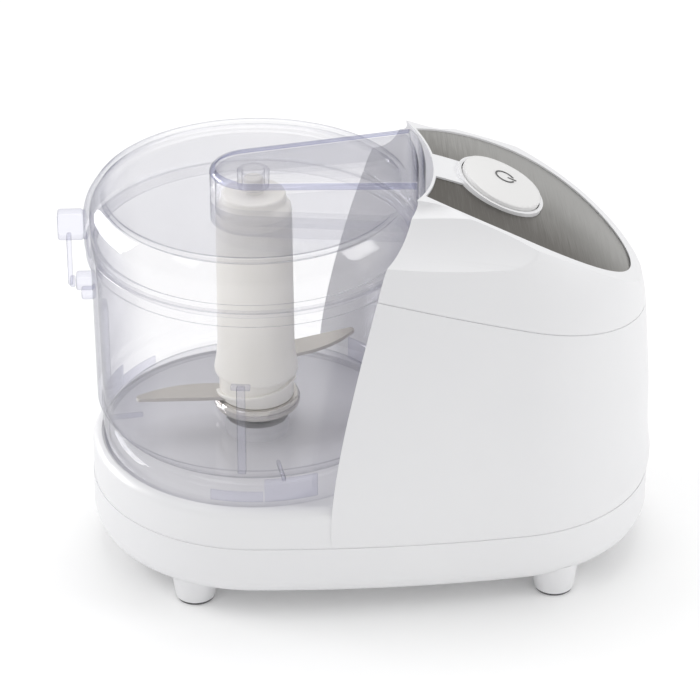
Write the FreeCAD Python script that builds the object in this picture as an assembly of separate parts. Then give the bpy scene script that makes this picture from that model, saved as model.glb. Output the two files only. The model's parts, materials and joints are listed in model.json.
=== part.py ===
import FreeCAD, Part

import math
import os

from FreeCAD import Vector

# A small food chopper: a clear bowl and lid on a low round platform, with a motor tower beside it.
# The part is modelled about the bowl's axis, in millimetres, with +Z up, +X from the bowl to the
# tower and -Y the front. place() then moves each piece so that the origin is the middle of the base.

# Driving dimensions -------------------------------------------------------------------------------

WALL = 2.2                  # housing wall
TAB_REACH = 66.0            # bowl axis to the lid's tab
TOWER_REACH = 136.8         # bowl axis to the tower's far end
AXIS_X = (TAB_REACH - TOWER_REACH) / 2

PAD_TOP = 1.0               # heights from the surface that the chopper stands on
PAN_BOTTOM = 8.5
LOW_SEAM = 29.0
PLATFORM_TOP = 43.7
SKIRT_BOTTOM = 42.7
BOWL_FLOOR = 51.7
BOWL_SHOULDER = 58.4
FLANGE_BOTTOM = 113.8
LID_BOTTOM = 118.7
LID_TOP = 134.8
CREST_TOP = 136.9

BASE_END_R = 57.6           # plan: bowl end, tower end and the long side arcs that join them
TOWER_END_R = 54.0
TOWER_END_X = TOWER_REACH - TOWER_END_R
SIDE_R = 500.0

BAY_R = 60.2                # hollow in the tower that the bowl stands in: an ellipse along X
BAY_FLARE = 2.8             # how much wider the hollow is across, along Y
BOWL_R = 55.0               # bowl wall, outside, at its foot
BOWL_TOP_R = 55.4
SKIRT_R = 53.4
FLANGE_R = 56.9
LID_R = 57.4
GLASS = 2.0                 # bowl and lid wall

ROOF_R = 190.0              # the tower's roof is part of a drum lying across it
ROOF_X = 4.2
ROOF_Z = -39.0
BORDER_RISE = 0.6           # white border, proud of the steel plate
PLATE_T = 0.8

SCOOP_R = 32.0              # long hollows in the tower's shoulders
SCOOP_Y = 62.0
SCOOP_Z = 154.0
SEAM_X = 40.0               # upper seam: a plane that falls towards the tower's end
SEAM_Z = 117.0
SEAM_FALL = 0.25
SEAM_GAP = 0.35             # chamfer that shows as the seam's fine line
SET_BACK = 0.3              # the platform's wall behind the pan's

BUTTON_X = 82.6
BUTTON_A = 14.2             # oval half length, along the roof
BUTTON_B = 16.0             # oval half width
BUTTON_RISE = 4.4
BUTTON_PLAY = 0.35
COLLAR = 1.6                # the white sleeve round the button
NECK_W = 8.3                # half width of the white neck between the bay and the button
SPRING_R, SPRING_WIRE_R = 4.1, 0.4

SPINDLE_R = 4.0
RUNNING = 0.06              # radial clearance of a shaft in its bush
TOOTH_MODULE = 1.5
DRIVE_TEETH, IDLER_TEETH, PINION_TEETH = 48, 26, 8
GEAR_Z0, GEAR_Z1 = 20.0, 27.0
IDLER_X = TOOTH_MODULE * (DRIVE_TEETH + IDLER_TEETH) / 2
MOTOR_X = IDLER_X + TOOTH_MODULE * (IDLER_TEETH + PINION_TEETH) / 2

FOOT_SPOTS = [(x, y) for x in (-22.6, 101.0) for y in (-40.6, 40.6)]
SCREW_SPOTS = [(x, y) for x in (-36.0, 118.0) for y in (-27.0, 27.0)]

INLET_X, INLET_Z, INLET_R = 62.0, 22.5, 4.6
CORD_R = 2.7

BOSS_R, BOSS_TOP = 11.0, 48.3
BUSH_R = 5.6

CHASSIS_Z0, CHASSIS_Z1 = 15.0, 17.5
CHASSIS_POSTS = [(x, y) for x in (-8.0, 40.0) for y in (-13.0, 13.0)] + [(104.0, 0.0)]
SPINDLE_TOP, HEX_TOP = 97.0, 108.0
BRACKET_Z0, BRACKET_Z1 = 33.0, 35.0
CAN_R, CAN_Z0, CAN_Z1 = 18.0, 35.0, 86.0
SHAFT_R = 1.6
BOARD_X = 121.0

TUBE_R, TUBE_BORE, TUBE_TOP = 9.0, 7.0, 94.0
COLUMN_R, COLUMN_SHOULDER, COLUMN_TOP = 13.2, 129.5, 134.4

FAN_HUB_R, FAN_END_R, FAN_HALF = 14.6, LID_R, 21.0
FAN_HUB_Z, FAN_END_Z = 144.0, 147.0

PIN_R, PIN_Y, PIN_Z = 2.4, 14.0, 121.0

BACK = Vector(0, 1, 0)
RIGHT = Vector(1, 0, 0)

os.makedirs("parts", exist_ok=True)
solids = {}


# Helpers ------------------------------------------------------------------------------------------

def cyl(r, z0, z1, x=0.0, y=0.0):
    return Part.makeCylinder(r, z1 - z0, Vector(x, y, z0))


def tube(outer, inner, z0, z1, x=0.0, y=0.0):
    return cyl(outer, z0, z1, x, y).cut(cyl(inner, z0 - 1, z1 + 1, x, y))


def cone(r0, r1, z0, z1, x=0.0, y=0.0):
    return Part.makeCone(r0, r1, z1 - z0, Vector(x, y, z0))


def block(x0, x1, y0, y1, z0, z1):
    return Part.makeBox(x1 - x0, y1 - y0, z1 - z0, Vector(x0, y0, z0))


def bay(r, z0=0.0, z1=200.0):
    """A prism on the hollow's ellipse."""
    ellipse = Part.Ellipse(Vector(0, 0, z0), r + BAY_FLARE, r)
    prism = Part.Face(Part.Wire(ellipse.toShape())).extrude(Vector(0, 0, z1 - z0))
    prism.rotate(Vector(0, 0, 0), Vector(0, 0, 1), 90)
    return prism


def hexagon(r, z0, z1):
    corners = [Vector(r * math.cos(math.pi * i / 3), r * math.sin(math.pi * i / 3), z0) for i in range(7)]
    return Part.Face(Part.makePolygon(corners)).extrude(Vector(0, 0, z1 - z0))


def fuse(first, *others):
    for other in others:
        first = first.fuse(other)
    return first.removeSplitter()


def outline(start, *steps):
    """A closed wire in the XZ plane: a step is a point, or a pair for an arc through its first."""
    edges, at = [], Vector(start[0], 0, start[1])
    for step in list(steps) + [start]:
        if isinstance(step[0], tuple):
            via, end = (Vector(p[0], 0, p[1]) for p in step)
            edges.append(Part.Arc(at, via, end).toShape())
        else:
            end = Vector(step[0], 0, step[1])
            if (end - at).Length < 1e-6:
                continue
            edges.append(Part.LineSegment(at, end).toShape())
        at = end
    return Part.Wire(edges)


def turned(start, *steps):
    face = Part.Face(outline(start, *steps))
    return Part.makeSolid(face.revolve(Vector(0, 0, 0), Vector(0, 0, 1), 360).Shells[0])


def place(name, shape):
    moved = shape.copy()
    moved.translate(Vector(AXIS_X, 0, 0))
    solids[name] = moved


# The housing's plan and its shells ----------------------------------------------------------------

def plan(z, bowl_r, tower_x, tower_r):
    """An egg-shaped wire: a bowl-end arc, a tower-end arc and two long arcs tangent to both."""
    cx = ((SIDE_R - bowl_r) ** 2 - (SIDE_R - tower_r) ** 2 + tower_x ** 2) / (2 * tower_x)
    cy = -math.sqrt((SIDE_R - bowl_r) ** 2 - cx ** 2)
    side, tower = Vector(cx, cy, 0), Vector(tower_x, 0, 0)
    a = side.negative().normalize() * bowl_r
    b = tower + (tower - side).normalize() * tower_r
    mid = side + ((a - side) + (b - side)).normalize() * SIDE_R

    def at(v, s=1):
        return Vector(v.x, s * v.y, z)

    return Part.Wire([
        Part.Arc(at(a), Vector(-bowl_r, 0, z), at(a, -1)).toShape(),
        Part.Arc(at(a, -1), at(mid, -1), at(b, -1)).toShape(),
        Part.Arc(at(b, -1), Vector(tower_x + tower_r, 0, z), at(b)).toShape(),
        Part.Arc(at(b), at(mid), at(a)).toShape(),
    ])


def slab(inset, z0, z1):
    wire = plan(z0, BASE_END_R - inset, TOWER_END_X, TOWER_END_R - inset)
    return Part.Face(wire).extrude(Vector(0, 0, z1 - z0))


def rounded_slab(inset, z0, z1, radius, z_edge):
    body = slab(inset, z0, z1)
    edges = [e for e in body.Edges if all(abs(v.Z - z_edge) < 1e-6 for v in e.Vertexes)]
    return body.makeFillet(radius, edges)


UPRIGHT_TO = 43.0
LEVEL_HEIGHTS = [LOW_SEAM, UPRIGHT_TO, 58.0, 72.0, 86.0, 98.0, 108.0, 117.0, 125.0, 132.0, 138.0, 144.0, 149.0]


def past(z, start):
    """The square of how far z is above start."""
    return max(0.0, z - start) ** 2


def tower_level(z, inset):
    """The tower's section at a height: upright, then leaning in, then rounding into the roof."""
    lean = past(max(z, UPRIGHT_TO), LOW_SEAM)
    bowl_end = BASE_END_R - 0.0014 * lean - 0.035 * past(z, 124.0)
    tower_end = TOWER_END_R - 0.0011 * lean - 0.05 * past(z, 130.0)
    reach = TOWER_REACH - 0.0008 * lean - 0.01 * past(z, 95.0) - 0.1 * past(z, 131.0)
    return plan(z, bowl_end - inset, reach - tower_end, tower_end - inset)


def roof_drum(radius):
    return Part.makeCylinder(radius, 160, Vector(ROOF_X, -80, ROOF_Z), Vector(0, 1, 0))


def tower_body(inset, bay_r, roof_r, scoop_r, z0):
    """The tower's solid form: lofted levels, with the bowl's bay, the roof and two scoops cut."""
    body = Part.makeLoft([tower_level(z, inset) for z in LEVEL_HEIGHTS], True, False)
    body = body.cut(bay(bay_r)).cut(block(-90, 10, -90, 90, 0, 200))
    body = body.common(roof_drum(roof_r))
    for side in (-1, 1):
        start, axis = Vector(0, side * (SCOOP_Y - 2.0), SCOOP_Z + 6.0), Vector(1, side * 0.05, -0.12)
        body = body.cut(Part.makeCylinder(scoop_r, 160, start, axis))
    if z0 > LOW_SEAM:
        body = body.cut(block(-90, 200, -90, 90, 0, z0))
    return body


def above_seam(lift=0.0):
    """Everything above the upper seam's plane, raised by lift."""
    half = Part.makeBox(400, 300, 200, Vector(-200, -150, 0))
    half.rotate(Vector(0, 0, 0), Vector(0, 1, 0), math.degrees(math.atan(SEAM_FALL)))
    half.translate(Vector(SEAM_X, 0, SEAM_Z + lift))
    return half


def seam_groove():
    """A thin slice of the outer skin along the upper seam."""
    layer = above_seam(-SEAM_GAP / 2).cut(above_seam(SEAM_GAP / 2))
    outer = tower_body(-0.5, BAY_R - 0.5, ROOF_R + 2, SCOOP_R - 1.0, LOW_SEAM)
    inner = tower_body(SEAM_GAP, BAY_R + SEAM_GAP, ROOF_R + 2, SCOOP_R, LOW_SEAM)
    return layer.common(outer.cut(inner))


def leaf(inset=0.0):
    """The steel plate's outline as a tall prism: a leaf, cut off round at the bay's side."""
    tip_x, mid_x, half_w = 128.0 - inset, 90.5, 34.0 - inset
    start_x, start_w = 50.0, 21.8 - inset
    rise = half_w - start_w
    run = mid_x - start_x
    side_r = (run ** 2 + rise ** 2) / (2 * rise)
    turn = math.asin(run / side_r) / 2

    def side_arc(s):
        via = Vector(mid_x - side_r * math.sin(turn), s * (half_w - side_r * (1 - math.cos(turn))), 90)
        return Part.Arc(Vector(start_x, s * start_w, 90), via, Vector(mid_x, s * half_w, 90)).toShape()

    nose = Part.Ellipse(Vector(mid_x, 0, 90), tip_x - mid_x, half_w)
    wire = Part.Wire([
        side_arc(-1),
        Part.ArcOfEllipse(nose, -math.pi / 2, math.pi / 2).toShape(),
        side_arc(1),
        Part.LineSegment(Vector(start_x, start_w, 90), Vector(start_x, -start_w, 90)).toShape(),
    ])
    prism = Part.Face(wire).extrude(Vector(0, 0, 90))
    return prism.cut(bay(BAY_R + 0.9 + inset))


def roof_tilt(x):
    return math.asin((x - ROOF_X) / ROOF_R)


def on_roof(x, lift=0.0):
    """The point above the roof's centreline at x, and the roof's normal there."""
    tilt = roof_tilt(x)
    normal = Vector(math.sin(tilt), 0, math.cos(tilt))
    return Vector(ROOF_X, 0, ROOF_Z) + normal * (ROOF_R + lift), normal


def button_oval(grow, low, high):
    """A prism on the button's oval, along the roof's normal, from low to high above the roof."""
    base, normal = on_roof(BUTTON_X, low)
    ellipse = Part.Ellipse(Vector(0, 0, 0), BUTTON_B + grow, BUTTON_A + grow)
    prism = Part.Face(Part.Wire(ellipse.toShape())).extrude(Vector(0, 0, high - low))
    prism.rotate(Vector(0, 0, 0), Vector(0, 0, 1), 90)
    prism.rotate(Vector(0, 0, 0), Vector(0, 1, 0), math.degrees(roof_tilt(BUTTON_X)))
    prism.translate(base)
    return prism


def keyhole(grow=0.0):
    """The white island that the steel plate goes round: the neck and the button's collar."""
    neck = block(50, BUTTON_X - 6, -NECK_W - grow, NECK_W + grow, 90, 180)
    return neck.fuse(button_oval(COLLAR + grow, -20, 30))


# Base pan, feet and what stands under the chopper -------------------------------------------------

def build_base():
    outer = rounded_slab(0.0, PAN_BOTTOM, LOW_SEAM, 8.5, PAN_BOTTOM)
    inner = rounded_slab(WALL, PAN_BOTTOM + WALL, LOW_SEAM + 5, 6.5, PAN_BOTTOM + WALL)
    pan = outer.cut(inner)
    groove = slab(-1, LOW_SEAM - SEAM_GAP, LOW_SEAM).cut(slab(SEAM_GAP, LOW_SEAM - 2, LOW_SEAM + 1))
    pan = pan.cut(groove)
    for x, y in SCREW_SPOTS:
        pan = pan.fuse(cyl(4.2, PAN_BOTTOM + 1, LOW_SEAM - 0.2, x, y))
        pan = pan.cut(cyl(1.7, 0, LOW_SEAM + 1, x, y)).cut(cyl(3.5, 0, PAN_BOTTOM + 3, x, y))
    for x, y in CHASSIS_POSTS:
        pan = pan.fuse(cyl(3.6, PAN_BOTTOM + 1, CHASSIS_Z0, x, y))
        pan = pan.cut(cyl(1.25, CHASSIS_Z0 - 5, CHASSIS_Z0 + 1, x, y))
    for i in range(7):
        x = MOTOR_X - 26 + 7 * i
        pan = pan.cut(block(x - 1.2, x + 1.2, -15, 15, 0, PAN_BOTTOM + 5))
    pan = pan.cut(inlet_hole())
    place("base_pan", pan.removeSplitter())
    feet = [cone(6.8, 8.5, PAD_TOP, 12.5, x, y).cut(outer) for x, y in FOOT_SPOTS]
    place("feet", Part.makeCompound([foot.Solids[0] for foot in feet]))
    pads = [cyl(6.3, 0, PAD_TOP, x, y) for x, y in FOOT_SPOTS]
    place("foot_pads", Part.makeCompound(pads))
    screws = []
    for x, y in SCREW_SPOTS:
        head = cyl(3.2, PAN_BOTTOM + 0.9, PAN_BOTTOM + 3, x, y)
        head = head.cut(block(x - 2.2, x + 2.2, y - 0.4, y + 0.4, 0, PAN_BOTTOM + 1.8))
        head = head.cut(block(x - 0.4, x + 0.4, y - 2.2, y + 2.2, 0, PAN_BOTTOM + 1.8))
        screws.append(head.fuse(cyl(1.4, PAN_BOTTOM + 3, LOW_SEAM + 8, x, y)))
    place("case_screws", Part.makeCompound(screws))


def inlet_hole():
    return Part.makeCylinder(INLET_R, 30, Vector(INLET_X, 40, INLET_Z), BACK)


def build_cord_gland():
    wall_y = 56.4
    body = Part.makeCylinder(INLET_R - 0.05, 9, Vector(INLET_X, wall_y - 7, INLET_Z), BACK)
    body = body.common(slab(-0.4, 0, 60))
    flange = Part.makeCylinder(INLET_R + 1.8, 4, Vector(INLET_X, wall_y - WALL - 2.6, INLET_Z), BACK)
    body = body.fuse(flange.common(slab(WALL + 0.05, 0, 60)))
    bore = Part.makeCylinder(CORD_R, 30, Vector(INLET_X, 40, INLET_Z), BACK)
    place("cord_gland", body.cut(bore).removeSplitter())


# Main housing and top cover -----------------------------------------------------------------------

def build_housing():
    platform = rounded_slab(SET_BACK, LOW_SEAM, PLATFORM_TOP, 3.8, PLATFORM_TOP)
    room = slab(WALL + 2 * SET_BACK, LOW_SEAM - 5, PLATFORM_TOP - 2.5)
    outer = tower_body(0.0, BAY_R, ROOF_R + BORDER_RISE, SCOOP_R, LOW_SEAM)
    inner = tower_body(WALL, BAY_R + WALL, ROOF_R - 2.2, SCOOP_R + 2.4, LOW_SEAM)
    shell = platform.fuse(outer.cut(above_seam()))
    shell = shell.cut(room).cut(inner).cut(seam_groove())
    shell = shell.cut(cyl(SKIRT_R + 0.8, SKIRT_BOTTOM - 0.2, 60))
    shell = shell.fuse(cyl(BOSS_R, 36.0, BOSS_TOP))
    shell = shell.cut(cyl(BUSH_R, 30, 60))
    for x, y in SCREW_SPOTS:
        post = tube(4.0, 1.45, LOW_SEAM + 0.1, PLATFORM_TOP - 2, x, y)
        if x > 0:
            web = block(x, 130, y - 1, y + 1, LOW_SEAM + 0.1, PLATFORM_TOP - 2)
            post = post.fuse(web.cut(cyl(3, 0, 60, x, y)))
        shell = shell.fuse(post.common(slab(1.0, 0, 60)))
    for side in (-1, 1):
        rail = block(BOARD_X - 2, 140, side * 19.0 - 2, side * 19.0 + 2, 52, 88)
        rail = rail.cut(block(BOARD_X - 0.1, BOARD_X + 1.7, -18.1, 18.1, 0, 200))
        shell = shell.fuse(rail.common(tower_body(1.0, BAY_R, ROOF_R, SCOOP_R + 1.0, LOW_SEAM)))
    place("main_housing", shell.removeSplitter())
    build_cover(outer, inner)


def build_cover(outer, inner):
    island = keyhole()
    roof_skin = roof_drum(ROOF_R + 4).cut(roof_drum(ROOF_R - PLATE_T))
    pocket = leaf().cut(island).common(roof_skin)
    cover = outer.cut(inner).common(above_seam()).cut(pocket).cut(seam_groove())
    cover = cover.fuse(button_oval(COLLAR, -9.0, BORDER_RISE + 0.5))
    cover = cover.cut(button_oval(BUTTON_PLAY, -20, 30))
    place("top_cover", largest(cover.removeSplitter()))
    plate = leaf(0.15).cut(keyhole(0.15)).common(roof_drum(ROOF_R).cut(roof_drum(ROOF_R - PLATE_T)))
    place("trim_plate", largest(plate))


def largest(shape):
    return max(shape.Solids, key=lambda s: s.Volume)


# Button, its spring and the switch ----------------------------------------------------------------

def coil(foot, height):
    """A compression spring on the roof's normal: five turns of round wire."""
    helix = Part.makeHelix(height / 5, height, SPRING_R)
    section = Part.Circle(Vector(SPRING_R, 0, 0), Vector(0, 1, 0), SPRING_WIRE_R)
    wire = Part.Wire(helix).makePipeShell([Part.Wire(section.toShape())], True, True)
    wire.rotate(Vector(0, 0, 0), Vector(0, 1, 0), math.degrees(roof_tilt(BUTTON_X)))
    wire.translate(foot)
    return wire


def build_button():
    cap = button_oval(0.0, -3.6, BUTTON_RISE)
    rim = [e for e in cap.Edges if len(e.Vertexes) < 2 or e.Closed]
    rim = sorted(rim, key=lambda e: e.BoundBox.ZMax)[-1:]
    cap = cap.makeFillet(2.4, rim)
    crown_base, normal = on_roof(BUTTON_X, BUTTON_RISE - 60.0)
    cap = cap.common(Part.makeSphere(60.0, crown_base))
    hollow = button_oval(-1.8, -5, BUTTON_RISE - 3.0)
    stem_foot, _ = on_roof(BUTTON_X, -11.0)
    stem = Part.makeCylinder(2.5, 11.0 + BUTTON_RISE - 2.6, stem_foot, normal)
    place("power_button", cap.cut(hollow).fuse(stem).removeSplitter())
    spring_foot, _ = on_roof(BUTTON_X, -9.0 + SPRING_WIRE_R + 0.1)
    place("button_spring", coil(spring_foot, 9.0 + BUTTON_RISE - 3.8 - 2 * SPRING_WIRE_R))
    shelf = button_oval(COLLAR, -11.0, -9.0).cut(button_oval(-9.0, -20, 0))
    place("button_shelf", shelf.cut(Part.makeCylinder(3.0, 40, stem_foot - normal * 20, normal)))
    switch = Part.makeBox(20, 11, 9, Vector(-10, -5.5, -9))
    switch.rotate(Vector(0, 0, 0), Vector(0, 1, 0), math.degrees(roof_tilt(BUTTON_X)))
    foot, _ = on_roof(BUTTON_X, -14.2)
    switch.translate(foot)
    place("switch_body", switch)


# Drive: spindle, gears and motor ------------------------------------------------------------------

def gear(teeth, z0, z1, bore_r, x, phase):
    """A spur gear with straight-sided teeth; phase is a tooth's direction in degrees."""
    pitch_r = TOOTH_MODULE * teeth / 2
    root_r, tip_r = pitch_r - 1.2 * TOOTH_MODULE, pitch_r + 0.8 * TOOTH_MODULE
    step = 2 * math.pi / teeth
    points = []
    for i in range(teeth):
        middle = math.radians(phase) + i * step
        for r, share in ((root_r, -0.31), (tip_r, -0.13), (tip_r, 0.13), (root_r, 0.31)):
            angle = middle + share * step
            points.append(Vector(x + r * math.cos(angle), r * math.sin(angle), z0))
    wire = Part.makePolygon(points + [points[0]])
    body = Part.Face(wire).extrude(Vector(0, 0, z1 - z0))
    return body.cut(cyl(bore_r, z0 - 1, z1 + 1, x))


def build_drive():
    place("drive_spindle", cyl(SPINDLE_R, 13.2, SPINDLE_TOP))
    big = gear(DRIVE_TEETH, GEAR_Z0, GEAR_Z1, SPINDLE_R, 0.0, 0.0)
    web = tube(31.0, 9.5, GEAR_Z0 + 4.4, GEAR_Z1 + 1).fuse(tube(31.0, 9.5, GEAR_Z0 - 1, GEAR_Z0 + 2.0))
    for turn in range(30, 390, 60):
        spoke = block(8.5, 32, -1.5, 1.5, GEAR_Z0, GEAR_Z1)
        spoke.rotate(Vector(0, 0, 0), Vector(0, 0, 1), turn)
        web = web.cut(spoke)
    big = big.cut(web).fuse(tube(9.5, SPINDLE_R, GEAR_Z1, GEAR_Z1 + 6))
    place("drive_gear", big.removeSplitter())
    driver = hexagon(5.6, SPINDLE_TOP, HEX_TOP)
    driver = driver.common(Part.makeCone(9.5, 3.4, 16, Vector(0, 0, SPINDLE_TOP - 2)))
    place("drive_coupling", driver)
    bore = SPINDLE_R + RUNNING
    upper = fuse(tube(BUSH_R + 1.6, bore, 34.6, 36.0), tube(BUSH_R, bore, 35.0, BOSS_TOP + 0.6))
    place("upper_bush", upper)
    lower = fuse(tube(6.4, bore, CHASSIS_Z1, 19.4), tube(BUSH_R, bore, CHASSIS_Z0 - 1, 19.0))
    place("lower_bush", lower)
    seal = tube(BOSS_R - 2.5, SPINDLE_R + 0.35, BOSS_TOP + 0.6, BOSS_TOP + 1.0)
    place("spindle_seal", seal)
    idler = gear(IDLER_TEETH, GEAR_Z0, GEAR_Z1, 3.0 + RUNNING, IDLER_X, 180.0 + 180.0 / IDLER_TEETH)
    idler = idler.cut(tube(15.5, 6.5, GEAR_Z0 + 4.6, GEAR_Z1 + 1, IDLER_X))
    place("idler_gear", idler)
    pin = cyl(3.0, CHASSIS_Z0, 30.0, IDLER_X).cut(tube(4, 2.4, 28.2, 28.9, IDLER_X))
    place("idler_pin", pin)
    clip = tube(5.2, 2.4, 28.25, 28.85, IDLER_X).cut(block(IDLER_X + 1, IDLER_X + 8, -1.9, 1.9, 27, 30))
    place("idler_clip", clip)
    place("idler_washers", Part.makeCompound([
        tube(5.4, 3.1, CHASSIS_Z1 + 0.3, GEAR_Z0 - 0.3, IDLER_X),
        tube(5.4, 3.1, GEAR_Z1 + 0.3, 28.2, IDLER_X)]))


def build_chassis():
    plate = block(-16, 110, -18, 18, CHASSIS_Z0, CHASSIS_Z1)
    plate = plate.fuse(block(66, 96, -30, 30, CHASSIS_Z0, CHASSIS_Z1))
    upright = [e for e in plate.Edges if e.Length < 3 and abs(e.Vertexes[0].Z - e.Vertexes[1].Z) > 1]
    plate = plate.makeFillet(2.0, upright)
    plate = plate.cut(cyl(BUSH_R, 0, 40)).cut(cyl(3.0, 0, 40, IDLER_X)).cut(cyl(5.0, 0, 40, MOTOR_X))
    for x, y in CHASSIS_POSTS:
        plate = plate.cut(cyl(1.6, 0, 40, x, y))
    place("chassis_plate", plate.removeSplitter())
    bolts = [cyl(2.8, CHASSIS_Z1, CHASSIS_Z1 + 1.6, x, y).fuse(cyl(1.2, CHASSIS_Z0 - 4, CHASSIS_Z1, x, y))
             for x, y in CHASSIS_POSTS]
    place("chassis_screws", Part.makeCompound(bolts))
    bracket = block(MOTOR_X - 20, MOTOR_X + 20, -24, 24, BRACKET_Z0, BRACKET_Z1)
    for side in (-1, 1):
        y0, y1 = sorted((side * 22.5, side * 24.0))
        leg = block(MOTOR_X - 11, MOTOR_X + 11, y0, y1, CHASSIS_Z1, BRACKET_Z0)
        f0, f1 = sorted((side * 22.5, side * 29.0))
        foot = block(MOTOR_X - 11, MOTOR_X + 11, f0, f1, CHASSIS_Z1, CHASSIS_Z1 + 1.5)
        bracket = bracket.fuse(leg).fuse(foot)
    bracket = bracket.cut(cyl(6.2, 0, 60, MOTOR_X))
    for x in (-12, 12):
        bracket = bracket.cut(cyl(1.6, 0, 60, MOTOR_X + x))
    place("motor_bracket", bracket.removeSplitter())
    place("motor_screws", Part.makeCompound([
        cyl(2.6, BRACKET_Z0 - 1.6, BRACKET_Z0, MOTOR_X + x).fuse(
            cyl(1.5, BRACKET_Z0, BRACKET_Z1 + 1.5, MOTOR_X + x)) for x in (-12, 12)]))


def build_motor():
    can = tube(CAN_R, CAN_R - 1.5, CAN_Z0, CAN_Z1, MOTOR_X)
    can = can.fuse(tube(CAN_R, 6.0, CAN_Z0, CAN_Z0 + 1.5, MOTOR_X))
    for x in (-12, 12):
        can = can.cut(cyl(1.55, 30, CAN_Z0 + 3, MOTOR_X + x))
    place("motor_can", can.removeSplitter())
    place("motor_front_bearing", tube(6.0, SHAFT_R + RUNNING, CAN_Z0 - 1.5, CAN_Z0 + 4, MOTOR_X))
    cap = tube(CAN_R, 5.0, CAN_Z1, CAN_Z1 + 3, MOTOR_X)
    place("motor_end_cap", fuse(cap, tube(6.5, 5.0, CAN_Z1 + 3, CAN_Z1 + 7, MOTOR_X)))
    place("motor_rear_bearing", tube(5.0, SHAFT_R + RUNNING, CAN_Z1 + 1, CAN_Z1 + 6, MOTOR_X))
    magnet = tube(CAN_R - 1.5, CAN_R - 4.0, CAN_Z0 + 8, CAN_Z1 - 12, MOTOR_X)
    gap = block(MOTOR_X - 6, MOTOR_X + 6, -30, 30, 0, 200)
    place("motor_magnets", Part.makeCompound(magnet.cut(gap).Solids))
    place("motor_shaft", cyl(SHAFT_R, 18.5, CAN_Z1 + 8, MOTOR_X))
    core = tube(13.2, SHAFT_R, CAN_Z0 + 10, CAN_Z1 - 14, MOTOR_X)
    for i in range(8):
        slot = block(MOTOR_X + 7, MOTOR_X + 14, -1.3, 1.3, 0, 200)
        slot.rotate(Vector(MOTOR_X, 0, 0), Vector(0, 0, 1), 45 * i)
        core = core.cut(slot)
    place("armature", core)
    place("commutator", tube(4.6, SHAFT_R, CAN_Z1 - 10, CAN_Z1 - 2, MOTOR_X))
    left = block(MOTOR_X - 15, MOTOR_X - 4.95, -2, 2, CAN_Z1 - 8, CAN_Z1 - 4)
    right = block(MOTOR_X + 4.95, MOTOR_X + 15, -2, 2, CAN_Z1 - 8, CAN_Z1 - 4)
    place("motor_brushes", Part.makeCompound([left, right]))
    phase = 180.0 if IDLER_TEETH % 4 == 2 else 180.0 + 180.0 / PINION_TEETH
    pinion = gear(PINION_TEETH, GEAR_Z0 - 1, GEAR_Z1 + 1.5, SHAFT_R, MOTOR_X, phase)
    place("pinion", pinion)
    board = block(BOARD_X, BOARD_X + 1.6, -18, 18, 54, 84)
    place("circuit_board", board)
    parts = [Part.makeCylinder(4.5, 9, Vector(BOARD_X - 9, -8, 70), Vector(1, 0, 0)),
             block(BOARD_X - 6, BOARD_X, 2, 14, 60, 66)]
    place("board_components", Part.makeCompound(parts))


# Bowl, lid and blade ------------------------------------------------------------------------------

def build_bowl():
    inner_r = BOWL_R - GLASS
    floor_under = BOWL_FLOOR - GLASS
    bowl = turned(
        (TUBE_BORE, floor_under), (46.0, floor_under), ((50.0, 51.2), (51.6, 55.4)),
        (51.6, SKIRT_BOTTOM), (SKIRT_R, SKIRT_BOTTOM), (53.6, 57.3), (BOWL_R, BOWL_SHOULDER),
        (BOWL_TOP_R, FLANGE_BOTTOM), (FLANGE_R, FLANGE_BOTTOM + 0.4), (FLANGE_R, LID_BOTTOM - 0.3),
        (BOWL_TOP_R - 0.4, LID_BOTTOM - 0.3), (inner_r + 0.7, 108.0), (inner_r, 60.0),
        ((50.6, 54.2), (44.8, BOWL_FLOOR)), (TUBE_R, BOWL_FLOOR), (TUBE_R, TUBE_TOP),
        (TUBE_BORE, TUBE_TOP))
    ribs = []
    for turn in range(0, 360, 90):
        rib = block(-1.9, 1.9, -inner_r - 1.2, -inner_r + 2.2, 56.0, 90.0)
        rib.rotate(Vector(0, 0, 0), Vector(0, 0, 1), turn - 6.5)
        ribs.append(rib)
    for rib in ribs:
        bowl = bowl.fuse(rib)
    for turn in (0, 120, 240):
        lug = tube(SKIRT_R + 0.4, SKIRT_R - 0.6, 46.6, 48.2)
        wedge = block(-9, 9, -60, -40, 40, 60)
        wedge.rotate(Vector(0, 0, 0), Vector(0, 0, 1), turn - 4)
        bowl = bowl.fuse(lug.common(wedge))
    catch = block(-60.8, -54.8, -3.0, 3.0, 99.5, 104.5)
    bowl = bowl.fuse(catch)
    place("bowl", bowl.removeSplitter())


def fan(inset, z0, z1_hub, z1_end):
    """The raised arm of the lid: a wedge from its round hub end out to the lid's wall."""
    hub_r, half = FAN_HUB_R - inset, FAN_HALF - inset
    hub = cyl(hub_r, z0, z1_hub + 10)
    far_x = 48.0
    lean = math.atan2(half - hub_r, far_x)
    tx, ty = -hub_r * math.sin(lean), hub_r * math.cos(lean)
    end = 62.0
    wide = ty + (end - tx) * math.tan(lean)
    corners = [Vector(tx, -ty, z0), Vector(end, -wide, z0), Vector(end, wide, z0), Vector(tx, ty, z0)]
    wedge = Part.Face(Part.makePolygon(corners + corners[:1])).extrude(Vector(0, 0, z1_hub + 10 - z0))
    arm = hub.fuse(wedge).common(cyl(FAN_END_R - inset, z0, 200))
    slope = math.degrees(math.atan2(z1_end - z1_hub, FAN_END_R))
    lid_off = Part.makeBox(200, 200, 60, Vector(-100, -100, 0))
    lid_off.rotate(Vector(0, 0, 0), Vector(0, 1, 0), -slope)
    lid_off.translate(Vector(0, 0, z1_hub))
    return arm.cut(lid_off).removeSplitter()


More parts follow.
